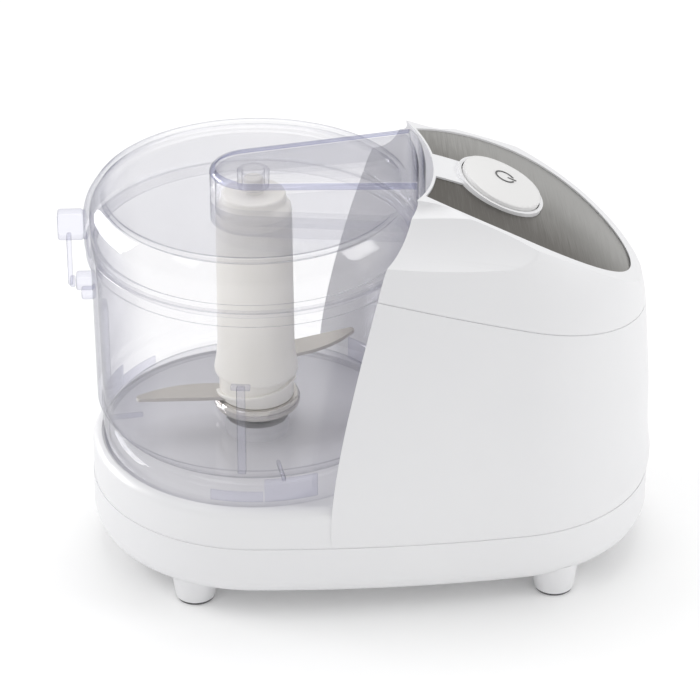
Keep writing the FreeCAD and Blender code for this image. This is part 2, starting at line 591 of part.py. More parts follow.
def build_lid():
    shell = turned(
        (LID_R - GLASS, LID_BOTTOM), (LID_R, LID_BOTTOM), (LID_R - 0.1, 129.0),
        ((55.7, 134.6), (52.2, CREST_TOP)), ((50.0, 136.4), (48.4, LID_TOP)), (0.0, LID_TOP),
        (0.0, LID_TOP - GLASS), (49.4, LID_TOP - GLASS), (51.6, 134.7), ((54.2, 133.0), (55.3, 129.0)))
    spigot = tube(54.0, 52.6, 113.4, 121.0).fuse(tube(55.8, 52.6, 119.6, 121.2))
    arm = fan(0.0, LID_TOP - 6, FAN_HUB_Z, FAN_END_Z)
    room = fan(1.7, 100, FAN_HUB_Z - 1.7, FAN_END_Z - 1.7)
    lid = shell.fuse(arm).cut(room.common(cyl(FAN_END_R - GLASS, 100, 200)))
    lid = lid.fuse(spigot)
    socket = tube(5.3, 3.9, 136.5, FAN_HUB_Z - 1.0)
    lid = lid.fuse(socket)
    tab = block(-TAB_REACH, -56.2, -2.9, 2.9, 118.7, 128.4)
    tab = tab.makeFillet(1.6, [e for e in tab.Edges if e.BoundBox.XMax < -60])
    skirt = block(-63.4, -61.7, -2.4, 2.4, 101.0, 119.4)
    tab = tab.cut(cyl(56.6, 100, 130))
    lid = lid.fuse(tab).fuse(skirt)
    place("lid", lid.removeSplitter())


def blade(z, thickness, root_w, tip_r, heading, sweep):
    """A flat scimitar: a straight back and a curved edge that meet at the tip."""
    root = 11.4
    back = Part.LineSegment(Vector(root, root_w / 2, z), Vector(tip_r, root_w * 0.1 + sweep, z))
    nose = Part.Arc(Vector(tip_r, root_w * 0.1 + sweep, z), Vector(tip_r + 0.9, sweep - 0.6, z),
                    Vector(tip_r - 0.4, sweep - 1.6, z))
    belly = Vector((root + tip_r) / 2, sweep / 2 - root_w * 0.62, z)
    edge = Part.Arc(Vector(tip_r - 0.4, sweep - 1.6, z), belly, Vector(root, -root_w / 2, z))
    close = Part.LineSegment(Vector(root, -root_w / 2, z), Vector(root, root_w / 2, z))
    face = Part.Face(Part.Wire([s.toShape() for s in (back, nose, edge, close)]))
    body = face.extrude(Vector(0, 0, thickness))
    body.rotate(Vector(0, 0, 0), Vector(0, 0, 1), heading)
    return body


def build_blade():
    column = turned(
        (10.6, 56.8), (13.9, 56.8), (13.9, 66.0), (14.6, 67.0), (COLUMN_R + 0.2, 74.0),
        (COLUMN_R - 0.3, 126.0), (COLUMN_R - 0.6, COLUMN_SHOULDER), (11.0, COLUMN_SHOULDER + 2),
        (10.8, COLUMN_TOP),
        (3.3, COLUMN_TOP), (3.3, 140.0), (0.0, 140.0), (0.0, 98.0), (10.6, 98.0))
    block_in = cyl(11.5, SPINDLE_TOP + 1.0, 124.0)
    column = column.fuse(block_in).cut(hexagon(6.1, 90.0, HEX_TOP + 1.5))
    low = blade(57.4, 1.3, 9.5, 41.0, 190.0, -1.5)
    high = blade(69.6, 1.3, 9.0, 38.0, 26.0, 1.5)
    column = column.cut(low).cut(high)
    place("blade_column", largest(column.removeSplitter()))
    place("lower_blade", low)
    place("upper_blade", high)
    place("steel_collar", turned(
        (11.0, 52.7), (14.2, 52.7), (15.0, 53.4), (15.0, 55.8), (14.4, 56.8), (11.0, 56.8)))


# Safety pin in the bay's wall ---------------------------------------------------------------------

def build_interlock():
    pin = Part.makeCylinder(PIN_R, 10, Vector(BAY_R - 3.0, PIN_Y, PIN_Z), RIGHT)
    collar = Part.makeCylinder(PIN_R + 1.4, 1.4, Vector(BAY_R + 2.5, PIN_Y, PIN_Z), RIGHT)
    place("interlock_pin", pin.fuse(collar).removeSplitter())
    switch_x = BAY_R + 10.0
    place("interlock_switch", block(switch_x, switch_x + 7, PIN_Y - 5, PIN_Y + 5, 114.5, 124.0))


def cut_interlock_hole():
    hole = Part.makeCylinder(PIN_R + 0.3, 14, Vector(AXIS_X + BAY_R - 6, PIN_Y, PIN_Z), RIGHT)
    solids["top_cover"] = solids["top_cover"].cut(hole)


for make in (build_base, build_cord_gland, build_housing, build_button, build_drive, build_chassis,
             build_motor, build_bowl, build_lid, build_blade, build_interlock, cut_interlock_hole):
    make()

for name, shape in solids.items():
    shape.exportStep("parts/" + name + ".step")
    box = shape.BoundBox
    print("%-20s solids %d valid %s volume %.0f x %.1f..%.1f y %.1f..%.1f z %.1f..%.1f" % (
        name, len(shape.Solids), shape.isValid(), shape.Volume, box.XMin, box.XMax, box.YMin, box.YMax,
        box.ZMin, box.ZMax))
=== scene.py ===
# %% [markdown]
# # A small food chopper
#
# This lesson dresses a finished CAD model of a food chopper: a clear bowl under a clear lid, and a
# white motor tower beside it. The CAD model sets every size. Here the pieces that show get smooth
# meshes with softened edges, and every piece gets a material made of nodes.
#
# The chopper stands on the floor at z = 0. +X runs from the bowl to the tower, and -Y is the front.

import json
import math

import bmesh
import bpy
from mathutils import Matrix, Vector

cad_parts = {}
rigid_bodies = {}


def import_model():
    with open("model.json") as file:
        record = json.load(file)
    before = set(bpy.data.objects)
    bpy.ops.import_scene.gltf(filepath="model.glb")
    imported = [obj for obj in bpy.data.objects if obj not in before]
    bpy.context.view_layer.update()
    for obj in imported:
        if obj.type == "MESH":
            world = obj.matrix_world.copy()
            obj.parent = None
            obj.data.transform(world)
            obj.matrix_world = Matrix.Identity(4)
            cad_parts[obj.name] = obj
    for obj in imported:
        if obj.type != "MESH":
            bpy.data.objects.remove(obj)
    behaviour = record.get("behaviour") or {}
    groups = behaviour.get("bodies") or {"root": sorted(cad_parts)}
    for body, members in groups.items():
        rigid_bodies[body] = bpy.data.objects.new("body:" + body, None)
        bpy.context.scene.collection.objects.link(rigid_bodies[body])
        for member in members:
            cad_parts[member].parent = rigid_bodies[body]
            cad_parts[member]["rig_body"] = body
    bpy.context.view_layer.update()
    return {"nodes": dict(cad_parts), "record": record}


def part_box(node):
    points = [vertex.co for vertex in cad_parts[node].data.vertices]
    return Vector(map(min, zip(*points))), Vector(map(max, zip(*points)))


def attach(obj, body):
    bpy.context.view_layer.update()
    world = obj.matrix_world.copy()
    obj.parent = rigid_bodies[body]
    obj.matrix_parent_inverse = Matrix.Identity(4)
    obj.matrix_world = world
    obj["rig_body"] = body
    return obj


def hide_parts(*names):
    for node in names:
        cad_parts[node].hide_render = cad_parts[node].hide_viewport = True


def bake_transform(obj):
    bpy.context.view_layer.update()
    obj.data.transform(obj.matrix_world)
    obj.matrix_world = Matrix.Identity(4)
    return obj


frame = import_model()
nodes = frame["nodes"]
MM = 0.001

spindle_low, spindle_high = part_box("drive_spindle")
BOWL_X = (spindle_low.x + spindle_high.x) / 2
print("CAD nodes:", len(nodes), " bowl axis at x =", round(BOWL_X / MM, 2), "mm")

# %% [markdown]
# ## The camera
#
# A long lens from far away keeps upright lines nearly upright, as in product pictures. The camera
# looks down by thirty degrees, and it is placed by turning a straight line about the point that it
# looks at, so the angle can be changed in one place.

# %% Place the camera
LOOK_AT = Vector((BOWL_X + 32.3 * MM, -1.5 * MM, 73.3 * MM))
AZIMUTH, ELEVATION, DISTANCE, LENS = math.radians(-2.6), math.radians(29.72), 1.1024, 164.6

back = Vector((math.sin(AZIMUTH) * math.cos(ELEVATION),
               -math.cos(AZIMUTH) * math.cos(ELEVATION),
               math.sin(ELEVATION)))
camera_data = bpy.data.cameras.new("camera")
camera_data.lens = LENS
camera_data.sensor_width = 36.0
camera = bpy.data.objects.new("camera", camera_data)
camera.location = LOOK_AT + back * DISTANCE
camera.rotation_euler = (-back).to_track_quat("-Z", "Y").to_euler()
bpy.context.scene.collection.objects.link(camera)
bpy.context.scene.camera = camera
print("camera at", [round(c, 3) for c in camera.location])

# %% [markdown]
# ## Helpers for materials
#
# Most finishes are a Principled shader with a few nodes in front of it. The helpers keep the cells
# short: one starts a material, the others add a noise pattern and send it to a colour, a number or
# the surface's relief. The noise reads Object coordinates, so a pattern stays on its piece when the
# piece moves.

# %% Start a material, and add noise to it
def new_material(name, **settings):
    material = bpy.data.materials.new(name)
    material.use_nodes = True
    shader = material.node_tree.nodes["Principled BSDF"]
    for socket, value in settings.items():
        shader.inputs[socket.replace("_", " ")].default_value = value
    return material, material.node_tree, shader


def noise(tree, scale, stretch=(1.0, 1.0, 1.0), detail=4.0):
    """A noise pattern on Object coordinates, stretched along the axes; returns its output."""
    place = tree.nodes.new("ShaderNodeTexCoord")
    mapping = tree.nodes.new("ShaderNodeMapping")
    mapping.inputs["Scale"].default_value = stretch
    pattern = tree.nodes.new("ShaderNodeTexNoise")
    pattern.inputs["Scale"].default_value = scale
    pattern.inputs["Detail"].default_value = detail
    tree.links.new(place.outputs["Object"], mapping.inputs["Vector"])
    tree.links.new(mapping.outputs["Vector"], pattern.inputs["Vector"])
    return pattern.outputs["Fac"]


def between(tree, value, low, high, socket):
    """Sends a 0..1 value to a socket as a number between low and high."""
    spread = tree.nodes.new("ShaderNodeMapRange")
    spread.inputs["From Min"].default_value = 0.3
    spread.inputs["From Max"].default_value = 0.7
    spread.inputs["To Min"].default_value = low
    spread.inputs["To Max"].default_value = high
    tree.links.new(value, spread.inputs["Value"])
    tree.links.new(spread.outputs["Result"], socket)


def tint(tree, value, dark, light, socket):
    """Sends a 0..1 value to a colour socket as a colour between dark and light."""
    ramp = tree.nodes.new("ShaderNodeValToRGB")
    ramp.color_ramp.elements[0].position = 0.3
    ramp.color_ramp.elements[1].position = 0.7
    ramp.color_ramp.elements[0].color = (*dark, 1.0)
    ramp.color_ramp.elements[1].color = (*light, 1.0)
    tree.links.new(value, ramp.inputs["Fac"])
    tree.links.new(ramp.outputs["Color"], socket)


def relief(tree, value, shader, strength, distance):
    """Sends a 0..1 value to the shader's normal as bumps of a real depth in metres."""
    bump = tree.nodes.new("ShaderNodeBump")
    bump.inputs["Strength"].default_value = strength
    bump.inputs["Distance"].default_value = distance
    tree.links.new(value, bump.inputs["Height"])
    tree.links.new(bump.outputs["Normal"], shader.inputs["Normal"])


# %% [markdown]
# ## The finishes that show
#
# The shells are glossy white plastic: almost flat in colour, with a very slight change of gloss
# and the faint unevenness that every large moulding has. An image texture could hold all this, but
# noise on Object coordinates has no seams and no fixed size. The button is moulded in a slightly
# warmer and duller white.

# %% Gloss white, and the button's white
def white_plastic(name, dark, light, roughness, ripple):
    material, tree, shader = new_material(name, IOR=1.5, Coat_Weight=0.12, Coat_Roughness=0.12)
    tint(tree, noise(tree, 9.0), dark, light, shader.inputs["Base Color"])
    between(tree, noise(tree, 60.0), roughness, roughness + 0.06, shader.inputs["Roughness"])
    relief(tree, noise(tree, 18.0, detail=1.0), shader, 0.1, ripple)
    return material


shell_white = white_plastic("shell_white", (0.80, 0.80, 0.815), (0.83, 0.83, 0.84), 0.34, 0.0002)
button_white = white_plastic("button_white", (0.76, 0.755, 0.75), (0.79, 0.785, 0.78), 0.36, 0.0001)

# %% [markdown]
# ## Clear plastic
#
# A thin wall of clear plastic shows in two ways: as a tint that deepens where the eye looks along
# the wall, and as a mirror that strengthens there too. A Glass shader bends light as well, which is
# right for a solid block, but in walls this thin it only turns the far side dark. So a Transparent
# and a Glossy shader are layered, and Layer Weight sets the tint of one and the share of the other.
# Small blocks and thick rims are seen through more plastic, so they start from a darker tint. The
# arm's rim goes darker still, with painted shade for the dark that refraction gives a rounded edge.

# %% Clear plastic in four depths
SLANT_START, SLANT_NEARLY = 0.35, 0.78
EDGE_SHARE_NEARLY = 0.17
MIRROR_FACE_ON, MIRROR_RISE = 0.05, 5.0


def clear_plastic(name, face_on, edge_on):
    """Thin clear walls: see-through face on, tinted at a slant, with a mirror layer on top."""
    material, tree, shader = new_material(name)
    tree.nodes.remove(shader)
    output = tree.nodes["Material Output"]
    slant = tree.nodes.new("ShaderNodeLayerWeight")
    slant.inputs["Blend"].default_value = 0.5
    ramp = tree.nodes.new("ShaderNodeValToRGB")
    ramp.color_ramp.elements[0].position = SLANT_START
    ramp.color_ramp.elements[1].position = 1.0
    ramp.color_ramp.elements[0].color = (*face_on, 1.0)
    ramp.color_ramp.elements[1].color = (*edge_on, 1.0)
    nearly = ramp.color_ramp.elements.new(SLANT_NEARLY)
    mixed = Vector(face_on).lerp(Vector(edge_on), EDGE_SHARE_NEARLY)
    nearly.color = (*mixed, 1.0)
    clear = tree.nodes.new("ShaderNodeBsdfTransparent")
    mirror = tree.nodes.new("ShaderNodeBsdfGlossy")
    power = tree.nodes.new("ShaderNodeMath")
    power.operation = "POWER"
    power.inputs[1].default_value = MIRROR_RISE
    share = tree.nodes.new("ShaderNodeMapRange")
    share.inputs["To Min"].default_value = MIRROR_FACE_ON
    layers = tree.nodes.new("ShaderNodeMixShader")
    tree.links.new(slant.outputs["Facing"], ramp.inputs["Fac"])
    tree.links.new(ramp.outputs["Color"], clear.inputs["Color"])
    tree.links.new(slant.outputs["Facing"], power.inputs[0])
    tree.links.new(power.outputs["Value"], share.inputs["Value"])
    tree.links.new(share.outputs["Result"], layers.inputs["Fac"])
    tree.links.new(clear.outputs["BSDF"], layers.inputs[1])
    tree.links.new(mirror.outputs["BSDF"], layers.inputs[2])
    tree.links.new(layers.outputs["Shader"], output.inputs["Surface"])
    between(tree, noise(tree, 35.0), 0.03, 0.07, mirror.inputs["Roughness"])
    return material


bit_clear = clear_plastic("bit_clear", (0.93, 0.93, 0.965), (0.10, 0.10, 0.25))
bowl_clear = clear_plastic("bowl_clear", (0.990, 0.989, 0.993), (0.10, 0.10, 0.25))
lid_clear = clear_plastic("lid_clear", (0.993, 0.992, 0.995), (0.09, 0.10, 0.27))
# The arm's rim: the tint of thick plastic, plus painted shade for the dark of its refraction.
rim_tint_and_painted_shade = clear_plastic("rim_tint_and_painted_shade", (0.72, 0.73, 0.86), (0.10, 0.11, 0.27))

# %% [markdown]
# ## Brushed steel
#
# The trim plate is steel brushed from front to back: noise squeezed hard along one axis gives the
# grain, which drives the colour, the gloss and a fine relief together. The slow change from dark by
# the bowl to light at the back is mostly reflection on real steel. Here the studio is too even to
# give it, so a soft slope along Object coordinates adds it to the colour.

# %% Brushed steel for the trim plate
DARK_TO_LIGHT = (8.0, 14.0, 0.0)
GRAIN_SHARE = 0.3


def brushed_plate():
    """Brushed steel: dark towards the front corner by the bowl, lighter towards the back."""
    material, tree, shader = new_material("brushed_plate", Metallic=1.0, Anisotropic=0.6)
    grain = noise(tree, 220.0, (12.0, 0.35, 12.0), 6.0)
    place = tree.nodes.new("ShaderNodeTexCoord")
    along = tree.nodes.new("ShaderNodeVectorMath")
    along.operation = "DOT_PRODUCT"
    along.inputs[1].default_value = DARK_TO_LIGHT
    fade = tree.nodes.new("ShaderNodeMapRange")
    fade.interpolation_type = "SMOOTHSTEP"
    fade.inputs["From Min"].default_value = 0.0
    fade.inputs["From Max"].default_value = 0.9
    fade.inputs["To Min"].default_value = 0.15
    fade.inputs["To Max"].default_value = 0.55
    both = tree.nodes.new("ShaderNodeMath")
    both.operation = "MULTIPLY_ADD"
    both.inputs[1].default_value = GRAIN_SHARE
    tree.links.new(place.outputs["Object"], along.inputs[0])
    tree.links.new(along.outputs["Value"], fade.inputs["Value"])
    tree.links.new(grain, both.inputs[0])
    tree.links.new(fade.outputs["Result"], both.inputs[2])
    tint(tree, both.outputs["Value"], (0.15, 0.14, 0.125), (0.50, 0.495, 0.48),
         shader.inputs["Base Color"])
    between(tree, grain, 0.28, 0.42, shader.inputs["Roughness"])
    relief(tree, grain, shader, 0.2, 0.0001)
    return material


plate_steel = brushed_plate()

# %% [markdown]
# ## Steel and column in the bowl
#
# The blades are ground flat, so they have a fine grain across them and a soft shine, and the ring
# under them is polished. The column is a milky nylon that lets a little light in, which is what
# Subsurface does. A plain white would look like painted wood.

# %% Ground steel for the blades, and the milky column
def ground_steel(name, dark, light, roughness):
    material, tree, shader = new_material(name, Metallic=1.0)
    grind = noise(tree, 260.0, (1.0, 5.0, 5.0), 2.0)
    tint(tree, grind, dark, light, shader.inputs["Base Color"])
    between(tree, grind, roughness, roughness + 0.08, shader.inputs["Roughness"])
    relief(tree, grind, shader, 0.04, 0.00002)
    return material


def milky_plastic():
    material, tree, shader = new_material(
        "milky_plastic", IOR=1.5, Subsurface_Weight=0.35, Subsurface_Radius=(0.004, 0.004, 0.004))
    tint(tree, noise(tree, 30.0), (0.84, 0.82, 0.77), (0.89, 0.87, 0.83),
         shader.inputs["Base Color"])
    between(tree, noise(tree, 80.0), 0.3, 0.42, shader.inputs["Roughness"])
    relief(tree, noise(tree, 60.0), shader, 0.2, 0.0001)
    return material


blade_steel = ground_steel("ground_steel", (0.58, 0.55, 0.515), (0.62, 0.59, 0.555), 0.28)
ring_steel = ground_steel("ring_steel", (0.60, 0.57, 0.54), (0.66, 0.64, 0.61), 0.12)
column_white = milky_plastic()

# %% [markdown]
# ## The finishes inside
#
# Inner pieces hardly show, yet each still needs a believable finish. One recipe with other numbers
# makes them all: two close colours mixed by noise, a range of roughness and a fine grain.

# %% One recipe for the inner finishes
def mottled(name, dark, light, rough, scale, grain, metallic=0.0):
    material, tree, shader = new_material(name, Metallic=metallic)
    pattern = noise(tree, scale)
    tint(tree, pattern, dark, light, shader.inputs["Base Color"])
    between(tree, pattern, rough[0], rough[1], shader.inputs["Roughness"])
    relief(tree, noise(tree, scale * 8), shader, 0.3, grain)
    return material


rubber_dark = mottled("rubber_dark", (0.09, 0.09, 0.095), (0.14, 0.14, 0.145),
                      (0.7, 0.85), 90.0, 0.0002)
plastic_inner = mottled("plastic_inner", (0.72, 0.71, 0.66), (0.80, 0.79, 0.75),
                        (0.45, 0.6), 60.0, 0.0001)
steel_plain = mottled("steel_plain", (0.50, 0.50, 0.49), (0.64, 0.64, 0.63),
                      (0.3, 0.5), 120.0, 0.0001, 1.0)
bronze = mottled("bronze", (0.42, 0.27, 0.12), (0.60, 0.42, 0.21), (0.35, 0.55), 150.0, 0.0001, 1.0)
laminate = mottled("laminate", (0.16, 0.10, 0.03), (0.26, 0.18, 0.06), (0.4, 0.6), 200.0, 0.0001)

SLOT_FINISH = {
    "white_shell": shell_white,
    "white_button": button_white,
    "steel_trim": plate_steel,
    "clear_plastic": lid_clear,
    "white_column": column_white,
    "blade_steel": blade_steel,
    "dark_rubber": rubber_dark,
    "inner_plastic": plastic_inner,
    "machine_steel": steel_plain,
    "bearing_bronze": bronze,
    "board_laminate": laminate,
}
node_slots = {part["node"]: part["material_slot"] for part in frame["record"]["subparts"]}
for name, node in nodes.items():
    node.data.materials.clear()
    node.data.materials.append(SLOT_FINISH[node_slots[name]])
print("finishes:", len(SLOT_FINISH))

# %% [markdown]
# ## Smooth copies of the shells
#
# A CAD mesh comes as loose triangles, which shade flat. The big shells have the right shape
# already, so each gets a copy whose doubled points are merged. The copy can then be shaded smooth
# up to a crease angle, and a narrow Bevel softens its corners the way a mould does. A Weighted
# Normal modifier then lets the large faces rule the shading, so the long triangles don't show. The
# other way, rebuilding them by hand with subdivision, would only drift from the design.

# %% Make a smooth copy of a CAD node
def finish_piece(mesh_maker, name, body, material):
    """Turns a bmesh into an object at the origin that rides on a body."""
    mesh = bpy.data.meshes.new(name)
    mesh_maker.to_mesh(mesh)
    mesh_maker.free()
    piece = bpy.data.objects.new(name, mesh)
    bpy.context.scene.collection.objects.link(piece)
    mesh.materials.append(material)
    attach(piece, body)
    return piece


def shade(piece, crease_degrees):
    """Smooth shading, with the edges over the crease angle kept sharp."""
    piece.data.shade_smooth()
    piece.data.set_sharp_from_angle(angle=math.radians(crease_degrees))


def bevelled(piece, width, angle=35.0, segments=3):
    bevel = piece.modifiers.new("soft_edges", "BEVEL")
    bevel.width = width
    bevel.segments = segments
    bevel.limit_method = "ANGLE"
    bevel.angle_limit = math.radians(angle)
    bevel.harden_normals = True
    bevel.miter_outer = "MITER_ARC"


def smooth_copy(node_name, crease_degrees=28.0, edge=0.0):
    node = nodes[node_name]
    bm = bmesh.new()
    bm.from_mesh(node.data)
    bmesh.ops.remove_doubles(bm, verts=bm.verts, dist=0.002 * MM)
    bmesh.ops.dissolve_degenerate(bm, dist=0.002 * MM, edges=bm.edges)
    piece = finish_piece(bm, node_name + "_smooth", node["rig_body"],
                         node.data.materials[0])
    shade(piece, crease_degrees)
    if edge:
        bevelled(piece, edge)
        even = piece.modifiers.new("even_shading", "WEIGHTED_NORMAL")
        even.keep_sharp = True
    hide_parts(node_name)
    return piece


for name, edge in (("main_housing", 0.5), ("top_cover", 0.5), ("base_pan", 0.4), ("feet", 0.4),
                   ("foot_pads", 0.2), ("trim_plate", 0.0), ("power_button", 0.0),
                   ("lower_blade", 0.2), ("upper_blade", 0.2)):
    made = smooth_copy(name, edge=edge * MM)
    print(name, "faces:", len(made.data.polygons))

# %% [markdown]
# ## Turned pieces
#
# The bowl, the lid's shell, the column and the steel ring are all round, so each is a profile spun
# about the bowl's axis. The profile starts as one flat face whose corners are rounded by a vertex
# bevel; then the face is dropped, its outline is spun through a full turn, and the ends merge into
# a closed wall with a real inside and outside. The Screw modifier would spin it too, but a finished
# mesh is simpler to join and cut afterwards.

# %% Spin a rounded profile
def profile_face(bm, corners):
    """A flat face in the XZ plane from (radius, height, rounding) corners in millimetres."""
    points = [bm.verts.new((r * MM, 0.0, z * MM)) for r, z, _ in corners]
    bm.faces.new(points)
    for size in sorted({c[2] for c in corners} - {0}):
        chosen = [point for point, corner in zip(points, corners) if corner[2] == size]
        bmesh.ops.bevel(bm, geom=chosen, offset=size * MM, offset_type="OFFSET", segments=5,
                        profile=0.5, affect="VERTICES", material=-1)


def tidy_shell(bm):
    """Closes the poles and points the faces outwards."""
    bmesh.ops.remove_doubles(bm, verts=bm.verts, dist=0.001 * MM)
    bmesh.ops.dissolve_degenerate(bm, dist=0.001 * MM, edges=bm.edges)
    bmesh.ops.recalc_face_normals(bm, faces=bm.faces)


def turned(corners, steps=160):
    bm = bmesh.new()
    profile_face(bm, corners)
    bmesh.ops.delete(bm, geom=bm.faces[:], context="FACES_ONLY")
    bmesh.ops.spin(bm, geom=bm.verts[:] + bm.edges[:], cent=(0, 0, 0), axis=(0, 0, 1),
                   angle=2 * math.pi, steps=steps, use_merge=True)
    tidy_shell(bm)
    bmesh.ops.translate(bm, vec=(BOWL_X, 0, 0), verts=bm.verts)
    return bm


def arc_strip(corners, start_degrees, end_degrees, steps, rise=0.0):
    """The same profile swept through part of a turn, with closed ends; it may climb as it goes."""
    bm = bmesh.new()
    profile_face(bm, corners)
    start = Matrix.Rotation(math.radians(start_degrees), 3, "Z")
    bmesh.ops.rotate(bm, verts=bm.verts, matrix=start)
    bmesh.ops.spin(bm, geom=bm.verts[:] + bm.edges[:] + bm.faces[:], cent=(0, 0, 0), axis=(0, 0, 1),
                   angle=math.radians(end_degrees - start_degrees), steps=steps,
                   dvec=(0, 0, rise * MM / steps))
    bmesh.ops.holes_fill(bm, edges=bm.edges, sides=0)
    tidy_shell(bm)
    bmesh.ops.translate(bm, vec=(BOWL_X, 0, 0), verts=bm.verts)
    return bm


# %% The bowl's wall
BOWL_PROFILE = (
    (7.0, 49.7, 0), (51.4, 49.7, 4.0), (51.6, 42.8, 0.3), (53.4, 42.8, 0.4), (53.6, 57.3, 0.4),
    (55.0, 58.6, 0.8), (55.4, 113.6, 0.5), (56.9, 113.9, 0.6), (56.9, 118.4, 0.5),
    (55.0, 118.4, 0.5), (53.7, 108.0, 4.0), (53.0, 51.7, 6.0), (9.0, 51.7, 1.5), (8.6, 94.0, 0.7),
    (7.0, 94.0, 0.3))
bowl = finish_piece(turned(BOWL_PROFILE), "bowl_wall", "bowl", bowl_clear)
shade(bowl, 40)
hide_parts("bowl")
print("bowl faces:", len(bowl.data.polygons))

# %% [markdown]
# ## Ribs and lugs on the bowl
#
# Four upright beads inside the wall stop the food from turning with the blade. Under the floor, the
# skirt carries short ledges that lock into the platform. They are small, but clear plastic is only
# seen at its edges, so these edges matter. Each bead is a cube made long and thin, with its corners
# bevelled, and copied round the bowl.

# %% Beads on the inside of the wall
def rounded_block(bm, low, high, rounding):
    """Adds a box between two corners in millimetres, about the bowl axis, with rounded edges."""
    made = bmesh.ops.create_cube(bm, size=1.0)["verts"]
    low, high = Vector(low) * MM, Vector(high) * MM
    bmesh.ops.scale(bm, vec=high - low, verts=made)
    bmesh.ops.translate(bm, vec=(low + high) / 2, verts=made)
    edges = list({edge for vert in made for edge in vert.link_edges})
    done = bmesh.ops.bevel(bm, geom=edges, offset=rounding * MM, offset_type="OFFSET", segments=3,
                           profile=0.5, affect="EDGES", material=-1)
    return done["verts"]


bm = bmesh.new()
for turn in range(4):
    bead = rounded_block(bm, (-1.4, -53.6, 56.0), (1.4, -50.9, 89.0), 0.5)
    bead += rounded_block(bm, (-3.2, -53.6, 88.2), (3.2, -51.6, 90.0), 0.4)
    spot = Matrix.Rotation(math.radians(90 * turn - 6.5), 3, "Z")
    bmesh.ops.rotate(bm, verts=bead, cent=(0, 0, 0), matrix=spot)
for turn in (9, 99, 189, 279):
    rib = rounded_block(bm, (-0.6, -51.5, 51.5), (0.6, -40.0, 53.2), 0.3)
    spot = Matrix.Rotation(math.radians(turn), 3, "Z")
    bmesh.ops.rotate(bm, verts=rib, cent=(0, 0, 0), matrix=spot)
bmesh.ops.translate(bm, vec=(BOWL_X, 0, 0), verts=bm.verts)
beads = finish_piece(bm, "bowl_beads", "bowl", bit_clear)
shade(beads, 40)

# %% [markdown]
# ## Ledges and catch
#
# Three pairs of low and tall ledges go round the skirt, where the bowl locks into the platform.
# Straight blocks would cut into the curved wall, so each ledge is a small profile spun through part
# of a turn. The catch by the rim is a block that the lid's hook holds.

# %% Ledges on the skirt
for index, start in enumerate((-108, 12, 132)):
    ledge = arc_strip(((53.2, 45.4, 0), (53.9, 45.4, 0.2), (53.9, 49.2, 0.2), (53.2, 49.2, 0)),
                      start, start + 19, 12)
    riser = arc_strip(((53.2, 45.4, 0), (53.9, 45.4, 0.2), (53.9, 54.0, 0.2), (53.2, 54.0, 0)),
                      start + 19.5, start + 39, 12)
    for part, label in ((ledge, "ledge_"), (riser, "riser_")):
        piece = finish_piece(part, "bowl_" + label + str(index + 1), "bowl",
                             bit_clear)
        shade(piece, 40)

# %% The catch that the lid's hook holds
bm = bmesh.new()
rounded_block(bm, (-60.6, -3.0, 99.5), (-54.8, 3.0, 104.5), 0.8)
rounded_block(bm, (-59.0, -2.2, 95.5), (-54.8, 2.2, 99.0), 0.8)
bmesh.ops.translate(bm, vec=(BOWL_X, 0, 0), verts=bm.verts)
catch = finish_piece(bm, "bowl_catch", "bowl", bit_clear)
shade(catch, 40)

# %% [markdown]
# ## The lid
#
# The lid is a turned shell with one raised arm on top. The arm starts as a circle round the hub;
# its right half is pushed out to the rim and widened, and the outline is extruded upwards and
# bevelled. Two of these, one larger and one smaller, become the outside and the hollow: Boolean
# modifiers add the first to the shell and take the second away, and the result is kept as a mesh.

# %% One block of the arm
ARM_HUB_RADIUS, ARM_HALF_AT_RIM = 14.6, 21.6
ARM_TOP_AT_HUB, ARM_TOP_AT_RIM = 144.0, 147.0
ARM_BULGE = 0.27
ARM_EDGE = 1.9
ARM_WALL = 1.7
RIM_X, HOLLOW_X = 57.5, 55.2
ARM_FLOOR, HOLLOW_FLOOR = 125.0, 128.0
HUB_SPLIT = -2.1


def arm_block(inset, low, high_at_hub, high_at_rim, rim_x):
    """The arm's solid form: a round hub that widens towards the rim, with a rising top."""
    bm = bmesh.new()
    hub = ARM_HUB_RADIUS - inset
    bmesh.ops.create_circle(bm, cap_ends=True, segments=72, radius=hub * MM)
    outer = [vert for vert in bm.verts if vert.co.x > HUB_SPLIT * MM]
    bmesh.ops.scale(bm, vec=(ARM_BULGE, (ARM_HALF_AT_RIM - inset) / hub, 1.0), verts=outer)
    bmesh.ops.translate(bm, vec=((rim_x - ARM_BULGE * hub) * MM, 0, 0), verts=outer)
    bmesh.ops.translate(bm, vec=(0, 0, low * MM), verts=bm.verts)
    raised = bmesh.ops.extrude_face_region(bm, geom=bm.faces[:])["geom"]
    top = [part for part in raised if isinstance(part, bmesh.types.BMVert)]
    for vert in top:
        share = max(0.0, vert.co.x / (rim_x * MM))
        vert.co.z = (high_at_hub + (high_at_rim - high_at_hub) * share) * MM
    bmesh.ops.holes_fill(bm, edges=bm.edges, sides=0)
    rim = [edge for edge in bm.edges if all(vert in set(top) for vert in edge.verts)]
    rounding = max(0.6, ARM_EDGE - inset)
    bmesh.ops.bevel(bm, geom=rim, offset=rounding * MM, offset_type="OFFSET", segments=5,
                    profile=0.5, affect="EDGES", material=-1)
    tidy_shell(bm)
    bmesh.ops.translate(bm, vec=(BOWL_X, 0, 0), verts=bm.verts)
    return bm


# %% Shell, arm and hollow become one mesh
def combine(target, tool_bm, operation):
    """Joins or cuts with a closed tool mesh, and keeps the result as the target's own mesh."""
    tool_mesh = bpy.data.meshes.new("tool")
    tool_bm.to_mesh(tool_mesh)
    tool_bm.free()
    tool = bpy.data.objects.new("tool", tool_mesh)
    bpy.context.scene.collection.objects.link(tool)
    step = target.modifiers.new("combine", "BOOLEAN")
    step.operation = operation
    step.solver = "EXACT"
    step.object = tool
    view = bpy.context.evaluated_depsgraph_get()
    result = bpy.data.meshes.new_from_object(target.evaluated_get(view))
    target.modifiers.remove(step)
    target.data = result
    bpy.data.objects.remove(tool)


